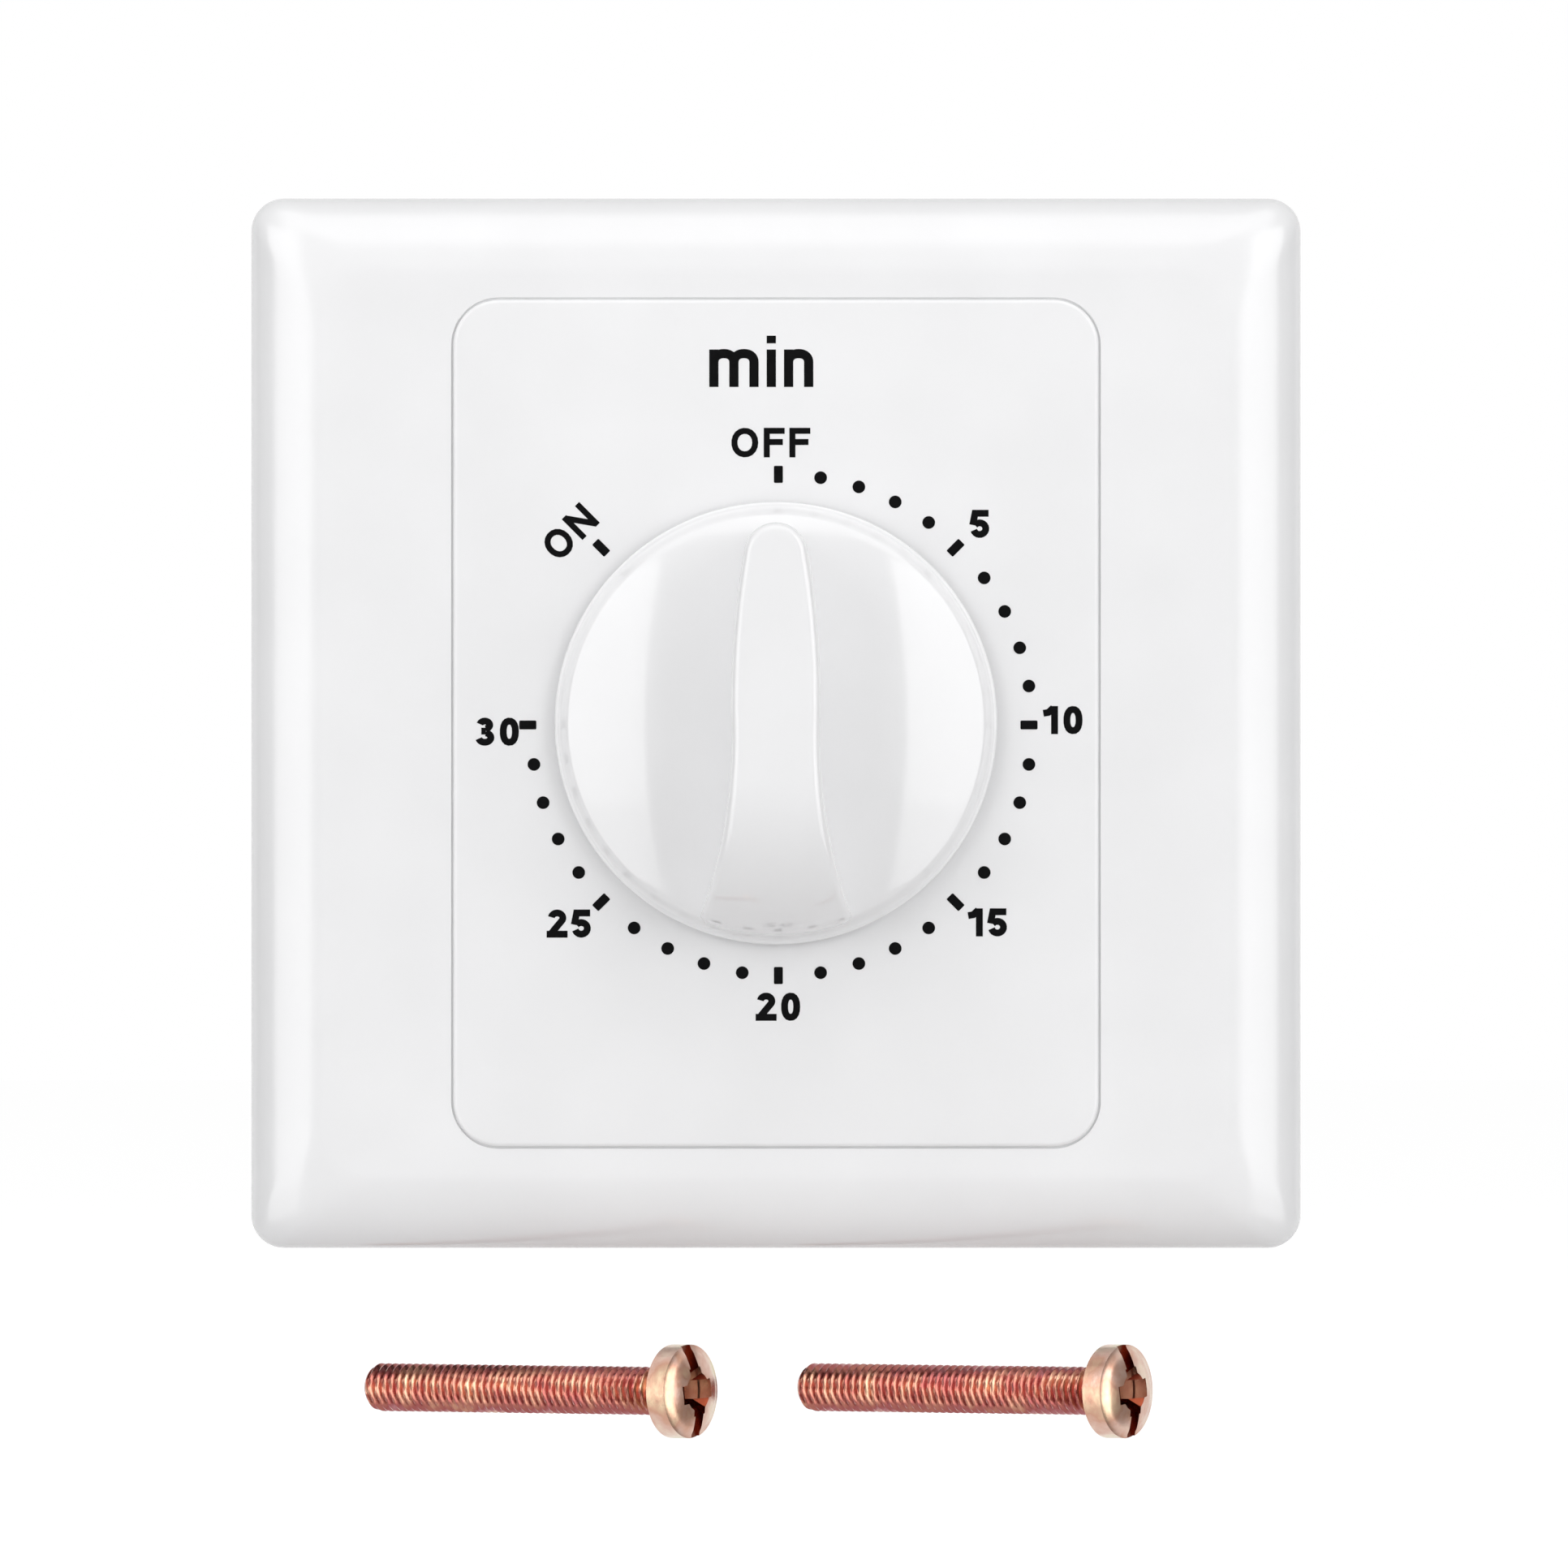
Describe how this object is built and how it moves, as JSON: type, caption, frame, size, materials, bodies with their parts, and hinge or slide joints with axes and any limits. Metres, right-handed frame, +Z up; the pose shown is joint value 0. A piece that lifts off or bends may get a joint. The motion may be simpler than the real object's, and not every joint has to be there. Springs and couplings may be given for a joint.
{
  "type": "timer light switch",
  "caption": "Square white wall plate with a round clockwork knob on a printed minute dial; the knob winds a geared timer whose cam switch cuts a lamp circuit off after the set time.",
  "frame": {"origin": "on the knob's axis, in the plane of the wall, midway between the two box screw slots", "axes": "+Z up, +X to the right as seen from the room, +Y into the wall; the face looks towards -Y"},
  "size_m": [0.086, 0.0486, 0.1014],
  "materials": {
    "cover_white": "moulded urea plastic, polished",
    "panel_white": "moulded plastic with a printed black scale",
    "knob_white": "moulded plastic, polished",
    "base_white": "moulded plastic, fine texture",
    "plate_steel": "zinc plated sheet",
    "screw_steel": "zinc plated",
    "arbor_steel": "turned and polished",
    "brass": "turned or punched, bare",
    "spring_steel": "tempered and blued",
    "housing_grey": "moulded thermoset, satin",
    "cam_nylon": "natural nylon",
    "bronze": "spring bronze strip",
    "silver": "silver alloy",
    "yellow_zinc": "yellow passivated zinc, iridescent"
  },
  "bodies": {
    "base": {"mounting_base": "base_white", "dial_panel": "panel_white", "fixing_screws": "screw_steel", "panel_screws": "screw_steel", "front_plate": "plate_steel", "rear_plate": "plate_steel", "plate_pillars": "plate_steel", "front_bush": "brass", "rear_bush": "brass", "mainspring": "spring_steel", "spring_post": "arbor_steel", "switch_housing": "housing_grey", "housing_cover": "housing_grey", "housing_screws": "screw_steel", "terminal_blocks": "brass", "terminal_screws": "screw_steel", "moving_blade": "bronze", "fixed_blade": "bronze", "moving_contact": "silver", "fixed_contact": "silver", "box_screws": "yellow_zinc"},
    "cover": {"outer_frame": "cover_white"},
    "dial": {"knob": "knob_white", "knob_spring": "spring_steel", "main_arbor": "arbor_steel", "stop_washer": "plate_steel", "clutch_spring": "spring_steel", "clutch_collet": "brass", "switch_cam": "cam_nylon"},
    "main": {"main_wheel": "brass"},
    "second": {"second_arbor": "arbor_steel", "second_wheel": "brass"},
    "third": {"third_arbor": "arbor_steel", "third_wheel": "brass"},
    "escape": {"escape_arbor": "arbor_steel", "escape_wheel": "brass"},
    "balance": {"balance_arbor": "arbor_steel", "pallet_lever": "plate_steel", "balance_ring": "brass"}
  },
  "joints": [
    {"name": "frame_pull", "type": "slide", "parent": "base", "child": "cover", "axis": [0, -1, 0], "range_m": [0, 0.025]},
    {"name": "knob_turn", "type": "hinge", "parent": "base", "child": "dial", "pos_m": [0, 0, 0], "axis": [0, 1, 0], "range_deg": [-45, 270], "deforming": ["mainspring", "moving_blade", "moving_contact"]},
    {"name": "escape_turn", "type": "hinge", "parent": "base", "child": "escape", "pos_m": [0.00043, 0, 0.0165], "axis": [0, 1, 0], "continuous": true},
    {"name": "third_turn", "type": "hinge", "parent": "base", "child": "third", "pos_m": [-0.0065, 0, 0.01356], "axis": [0, 1, 0], "continuous": true},
    {"name": "second_turn", "type": "hinge", "parent": "base", "child": "second", "pos_m": [-0.01178, 0, 0.0068], "axis": [0, 1, 0], "continuous": true},
    {"name": "main_wheel_turn", "type": "hinge", "parent": "base", "child": "main", "pos_m": [0, 0, 0], "axis": [0, 1, 0], "continuous": true},
    {"name": "balance_swing", "type": "hinge", "parent": "base", "child": "balance", "pos_m": [0.00757, 0, 0.01524], "axis": [0, 1, 0], "range_deg": [-5, 5]}
  ],
  "couplings": [
    {"joint": "third_turn", "follows": "escape_turn", "ratio": -0.19444},
    {"joint": "second_turn", "follows": "escape_turn", "ratio": 0.032407},
    {"joint": "main_wheel_turn", "follows": "escape_turn", "ratio": -0.004321}
  ]
}
